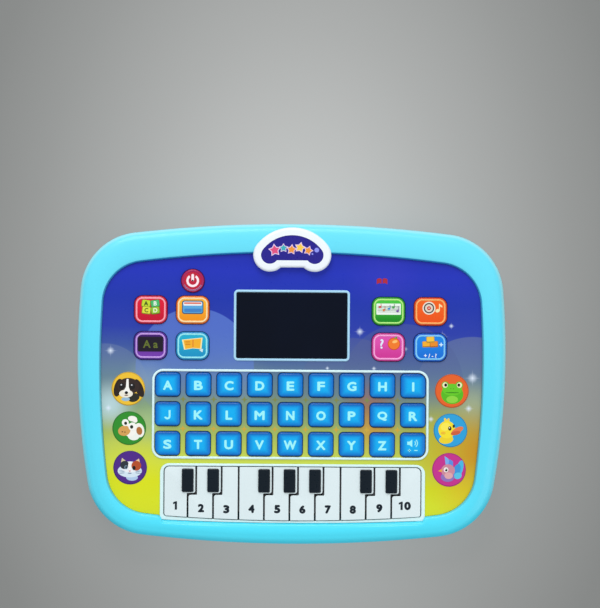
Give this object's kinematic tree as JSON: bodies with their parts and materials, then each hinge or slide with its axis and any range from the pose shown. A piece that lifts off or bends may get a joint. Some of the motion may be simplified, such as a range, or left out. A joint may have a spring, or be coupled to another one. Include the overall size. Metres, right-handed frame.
{
  "type": "toy laptop computer",
  "caption": "Flat children's learning tablet with blue letter keys, white piano keys, mode buttons, a small dark screen and a light-blue case.",
  "frame": {"origin": "on the table under the middle of the case, which lies on its four rubber feet", "axes": "+X to the right of someone using it, +Y towards the top edge with the badge, +Z out of the face"},
  "size_m": [0.2394, 0.1788, 0.0269],
  "materials": {
    "shell_back": "fine texture",
    "shell_front": "satin gloss",
    "face_print": "printed film with raised pale frames",
    "badge_white": "gloss",
    "window_dark": "dark clear window",
    "module_black": "matt",
    "board_green": "solder mask",
    "mat_grey": "silicone",
    "speaker_black": "frame and paper cone",
    "cell_wrap": "wrapped cells",
    "contact_metal": "nickel-plated",
    "screw_steel": "zinc-plated",
    "foot_rubber": "matt",
    "key_blue": "gloss with printed legend",
    "piano_white": "gloss with black block",
    "power_red": "gloss",
    "mode_red": "gloss with printed icon",
    "mode_amber": "gloss with printed icon",
    "mode_purple": "gloss with printed icon",
    "mode_teal": "gloss with printed icon",
    "mode_green": "gloss with printed icon",
    "mode_orange": "gloss with printed icon",
    "mode_magenta": "gloss with printed icon",
    "mode_blue": "gloss with printed icon"
  },
  "bodies": {
    "body": {"rear_shell": "shell_back", "front_shell": "shell_front", "face_overlay": "face_print", "badge": "badge_white", "screen_window": "window_dark", "led_matrix": "module_black", "circuit_board": "board_green", "dome_mat": "mat_grey", "speaker": "speaker_black", "batteries": "cell_wrap", "battery_contacts": "contact_metal", "case_screws": "screw_steel", "rubber_feet": "foot_rubber"},
    "key_a": {"key_a": "key_blue"},
    "key_b": {"key_b": "key_blue"},
    "key_c": {"key_c": "key_blue"},
    "key_d": {"key_d": "key_blue"},
    "key_e": {"key_e": "key_blue"},
    "key_f": {"key_f": "key_blue"},
    "key_g": {"key_g": "key_blue"},
    "key_h": {"key_h": "key_blue"},
    "key_i": {"key_i": "key_blue"},
    "key_j": {"key_j": "key_blue"},
    "key_k": {"key_k": "key_blue"},
    "key_l": {"key_l": "key_blue"},
    "key_m": {"key_m": "key_blue"},
    "key_n": {"key_n": "key_blue"},
    "key_o": {"key_o": "key_blue"},
    "key_p": {"key_p": "key_blue"},
    "key_q": {"key_q": "key_blue"},
    "key_r": {"key_r": "key_blue"},
    "key_s": {"key_s": "key_blue"},
    "key_t": {"key_t": "key_blue"},
    "key_u": {"key_u": "key_blue"},
    "key_v": {"key_v": "key_blue"},
    "key_w": {"key_w": "key_blue"},
    "key_x": {"key_x": "key_blue"},
    "key_y": {"key_y": "key_blue"},
    "key_z": {"key_z": "key_blue"},
    "key_volume": {"key_volume": "key_blue"},
    "piano_1": {"piano_1": "piano_white"},
    "piano_2": {"piano_2": "piano_white"},
    "piano_3": {"piano_3": "piano_white"},
    "piano_4": {"piano_4": "piano_white"},
    "piano_5": {"piano_5": "piano_white"},
    "piano_6": {"piano_6": "piano_white"},
    "piano_7": {"piano_7": "piano_white"},
    "piano_8": {"piano_8": "piano_white"},
    "piano_9": {"piano_9": "piano_white"},
    "piano_10": {"piano_10": "piano_white"},
    "mode_1": {"mode_1": "mode_red"},
    "mode_2": {"mode_2": "mode_amber"},
    "mode_3": {"mode_3": "mode_purple"},
    "mode_4": {"mode_4": "mode_teal"},
    "mode_5": {"mode_5": "mode_green"},
    "mode_6": {"mode_6": "mode_orange"},
    "mode_7": {"mode_7": "mode_magenta"},
    "mode_8": {"mode_8": "mode_blue"},
    "power_button": {"power_button": "power_red"},
    "battery_door": {"battery_door": "shell_back"}
  },
  "joints": [
    {"name": "key_a_press", "type": "slide", "parent": "body", "child": "key_a", "axis": [0, 0, -1], "range_m": [0, 0.0012], "stiffness_N_per_m": 600, "springref_m": -0.0005, "deforming": ["dome_mat"]},
    {"name": "key_b_press", "type": "slide", "parent": "body", "child": "key_b", "axis": [0, 0, -1], "range_m": [0, 0.0012], "stiffness_N_per_m": 600, "springref_m": -0.0005},
    {"name": "key_c_press", "type": "slide", "parent": "body", "child": "key_c", "axis": [0, 0, -1], "range_m": [0, 0.0012], "stiffness_N_per_m": 600, "springref_m": -0.0005},
    {"name": "key_d_press", "type": "slide", "parent": "body", "child": "key_d", "axis": [0, 0, -1], "range_m": [0, 0.0012], "stiffness_N_per_m": 600, "springref_m": -0.0005},
    {"name": "key_e_press", "type": "slide", "parent": "body", "child": "key_e", "axis": [0, 0, -1], "range_m": [0, 0.0012], "stiffness_N_per_m": 600, "springref_m": -0.0005},
    {"name": "key_f_press", "type": "slide", "parent": "body", "child": "key_f", "axis": [0, 0, -1], "range_m": [0, 0.0012], "stiffness_N_per_m": 600, "springref_m": -0.0005},
    {"name": "key_g_press", "type": "slide", "parent": "body", "child": "key_g", "axis": [0, 0, -1], "range_m": [0, 0.0012], "stiffness_N_per_m": 600, "springref_m": -0.0005},
    {"name": "key_h_press", "type": "slide", "parent": "body", "child": "key_h", "axis": [0, 0, -1], "range_m": [0, 0.0012], "stiffness_N_per_m": 600, "springref_m": -0.0005},
    {"name": "key_i_press", "type": "slide", "parent": "body", "child": "key_i", "axis": [0, 0, -1], "range_m": [0, 0.0012], "stiffness_N_per_m": 600, "springref_m": -0.0005},
    {"name": "key_j_press", "type": "slide", "parent": "body", "child": "key_j", "axis": [0, 0, -1], "range_m": [0, 0.0012], "stiffness_N_per_m": 600, "springref_m": -0.0005},
    {"name": "key_k_press", "type": "slide", "parent": "body", "child": "key_k", "axis": [0, 0, -1], "range_m": [0, 0.0012], "stiffness_N_per_m": 600, "springref_m": -0.0005},
    {"name": "key_l_press", "type": "slide", "parent": "body", "child": "key_l", "axis": [0, 0, -1], "range_m": [0, 0.0012], "stiffness_N_per_m": 600, "springref_m": -0.0005},
    {"name": "key_m_press", "type": "slide", "parent": "body", "child": "key_m", "axis": [0, 0, -1], "range_m": [0, 0.0012], "stiffness_N_per_m": 600, "springref_m": -0.0005},
    {"name": "key_n_press", "type": "slide", "parent": "body", "child": "key_n", "axis": [0, 0, -1], "range_m": [0, 0.0012], "stiffness_N_per_m": 600, "springref_m": -0.0005},
    {"name": "key_o_press", "type": "slide", "parent": "body", "child": "key_o", "axis": [0, 0, -1], "range_m": [0, 0.0012], "stiffness_N_per_m": 600, "springref_m": -0.0005},
    {"name": "key_p_press", "type": "slide", "parent": "body", "child": "key_p", "axis": [0, 0, -1], "range_m": [0, 0.0012], "stiffness_N_per_m": 600, "springref_m": -0.0005},
    {"name": "key_q_press", "type": "slide", "parent": "body", "child": "key_q", "axis": [0, 0, -1], "range_m": [0, 0.0012], "stiffness_N_per_m": 600, "springref_m": -0.0005},
    {"name": "key_r_press", "type": "slide", "parent": "body", "child": "key_r", "axis": [0, 0, -1], "range_m": [0, 0.0012], "stiffness_N_per_m": 600, "springref_m": -0.0005},
    {"name": "key_s_press", "type": "slide", "parent": "body", "child": "key_s", "axis": [0, 0, -1], "range_m": [0, 0.0012], "stiffness_N_per_m": 600, "springref_m": -0.0005},
    {"name": "key_t_press", "type": "slide", "parent": "body", "child": "key_t", "axis": [0, 0, -1], "range_m": [0, 0.0012], "stiffness_N_per_m": 600, "springref_m": -0.0005},
    {"name": "key_u_press", "type": "slide", "parent": "body", "child": "key_u", "axis": [0, 0, -1], "range_m": [0, 0.0012], "stiffness_N_per_m": 600, "springref_m": -0.0005},
    {"name": "key_v_press", "type": "slide", "parent": "body", "child": "key_v", "axis": [0, 0, -1], "range_m": [0, 0.0012], "stiffness_N_per_m": 600, "springref_m": -0.0005},
    {"name": "key_w_press", "type": "slide", "parent": "body", "child": "key_w", "axis": [0, 0, -1], "range_m": [0, 0.0012], "stiffness_N_per_m": 600, "springref_m": -0.0005},
    {"name": "key_x_press", "type": "slide", "parent": "body", "child": "key_x", "axis": [0, 0, -1], "range_m": [0, 0.0012], "stiffness_N_per_m": 600, "springref_m": -0.0005},
    {"name": "key_y_press", "type": "slide", "parent": "body", "child": "key_y", "axis": [0, 0, -1], "range_m": [0, 0.0012], "stiffness_N_per_m": 600, "springref_m": -0.0005},
    {"name": "key_z_press", "type": "slide", "parent": "body", "child": "key_z", "axis": [0, 0, -1], "range_m": [0, 0.0012], "stiffness_N_per_m": 600, "springref_m": -0.0005},
    {"name": "key_volume_press", "type": "slide", "parent": "body", "child": "key_volume", "axis": [0, 0, -1], "range_m": [0, 0.0012], "stiffness_N_per_m": 600, "springref_m": -0.0005},
    {"name": "mode_1_press", "type": "slide", "parent": "body", "child": "mode_1", "axis": [0, 0, -1], "range_m": [0, 0.0012], "stiffness_N_per_m": 600, "springref_m": -0.0005},
    {"name": "mode_2_press", "type": "slide", "parent": "body", "child": "mode_2", "axis": [0, 0, -1], "range_m": [0, 0.0012], "stiffness_N_per_m": 600, "springref_m": -0.0005},
    {"name": "mode_3_press", "type": "slide", "parent": "body", "child": "mode_3", "axis": [0, 0, -1], "range_m": [0, 0.0012], "stiffness_N_per_m": 600, "springref_m": -0.0005},
    {"name": "mode_4_press", "type": "slide", "parent": "body", "child": "mode_4", "axis": [0, 0, -1], "range_m": [0, 0.0012], "stiffness_N_per_m": 600, "springref_m": -0.0005},
    {"name": "mode_5_press", "type": "slide", "parent": "body", "child": "mode_5", "axis": [0, 0, -1], "range_m": [0, 0.0012], "stiffness_N_per_m": 600, "springref_m": -0.0005},
    {"name": "mode_6_press", "type": "slide", "parent": "body", "child": "mode_6", "axis": [0, 0, -1], "range_m": [0, 0.0012], "stiffness_N_per_m": 600, "springref_m": -0.0005},
    {"name": "mode_7_press", "type": "slide", "parent": "body", "child": "mode_7", "axis": [0, 0, -1], "range_m": [0, 0.0012], "stiffness_N_per_m": 600, "springref_m": -0.0005},
    {"name": "mode_8_press", "type": "slide", "parent": "body", "child": "mode_8", "axis": [0, 0, -1], "range_m": [0, 0.0012], "stiffness_N_per_m": 600, "springref_m": -0.0005},
    {"name": "power_button_press", "type": "slide", "parent": "body", "child": "power_button", "axis": [0, 0, -1], "range_m": [0, 0.0012], "stiffness_N_per_m": 600, "springref_m": -0.0005},
    {"name": "piano_1_press", "type": "hinge", "parent": "body", "child": "piano_1", "pos_m": [0, -0.0458, 0.02015], "axis": [1, 0, 0], "range_deg": [0, 2.2], "stiffness_Nm_per_rad": 0.55, "springref_deg": -1.15},
    {"name": "piano_2_press", "type": "hinge", "parent": "body", "child": "piano_2", "pos_m": [0, -0.0458, 0.02015], "axis": [1, 0, 0], "range_deg": [0, 2.2], "stiffness_Nm_per_rad": 0.55, "springref_deg": -1.15},
    {"name": "piano_3_press", "type": "hinge", "parent": "body", "child": "piano_3", "pos_m": [0, -0.0458, 0.02015], "axis": [1, 0, 0], "range_deg": [0, 2.2], "stiffness_Nm_per_rad": 0.55, "springref_deg": -1.15},
    {"name": "piano_4_press", "type": "hinge", "parent": "body", "child": "piano_4", "pos_m": [0, -0.0458, 0.02015], "axis": [1, 0, 0], "range_deg": [0, 2.2], "stiffness_Nm_per_rad": 0.55, "springref_deg": -1.15},
    {"name": "piano_5_press", "type": "hinge", "parent": "body", "child": "piano_5", "pos_m": [0, -0.0458, 0.02015], "axis": [1, 0, 0], "range_deg": [0, 2.2], "stiffness_Nm_per_rad": 0.55, "springref_deg": -1.15},
    {"name": "piano_6_press", "type": "hinge", "parent": "body", "child": "piano_6", "pos_m": [0, -0.0458, 0.02015], "axis": [1, 0, 0], "range_deg": [0, 2.2], "stiffness_Nm_per_rad": 0.55, "springref_deg": -1.15},
    {"name": "piano_7_press", "type": "hinge", "parent": "body", "child": "piano_7", "pos_m": [0, -0.0458, 0.02015], "axis": [1, 0, 0], "range_deg": [0, 2.2], "stiffness_Nm_per_rad": 0.55, "springref_deg": -1.15},
    {"name": "piano_8_press", "type": "hinge", "parent": "body", "child": "piano_8", "pos_m": [0, -0.0458, 0.02015], "axis": [1, 0, 0], "range_deg": [0, 2.2], "stiffness_Nm_per_rad": 0.55, "springref_deg": -1.15},
    {"name": "piano_9_press", "type": "hinge", "parent": "body", "child": "piano_9", "pos_m": [0, -0.0458, 0.02015], "axis": [1, 0, 0], "range_deg": [0, 2.2], "stiffness_Nm_per_rad": 0.55, "springref_deg": -1.15},
    {"name": "piano_10_press", "type": "hinge", "parent": "body", "child": "piano_10", "pos_m": [0, -0.0458, 0.02015], "axis": [1, 0, 0], "range_deg": [0, 2.2], "stiffness_Nm_per_rad": 0.55, "springref_deg": -1.15},
    {"name": "battery_door_lift", "type": "slide", "parent": "body", "child": "battery_door", "axis": [0, 0, -1], "range_m": [0, 0.02]}
  ]
}
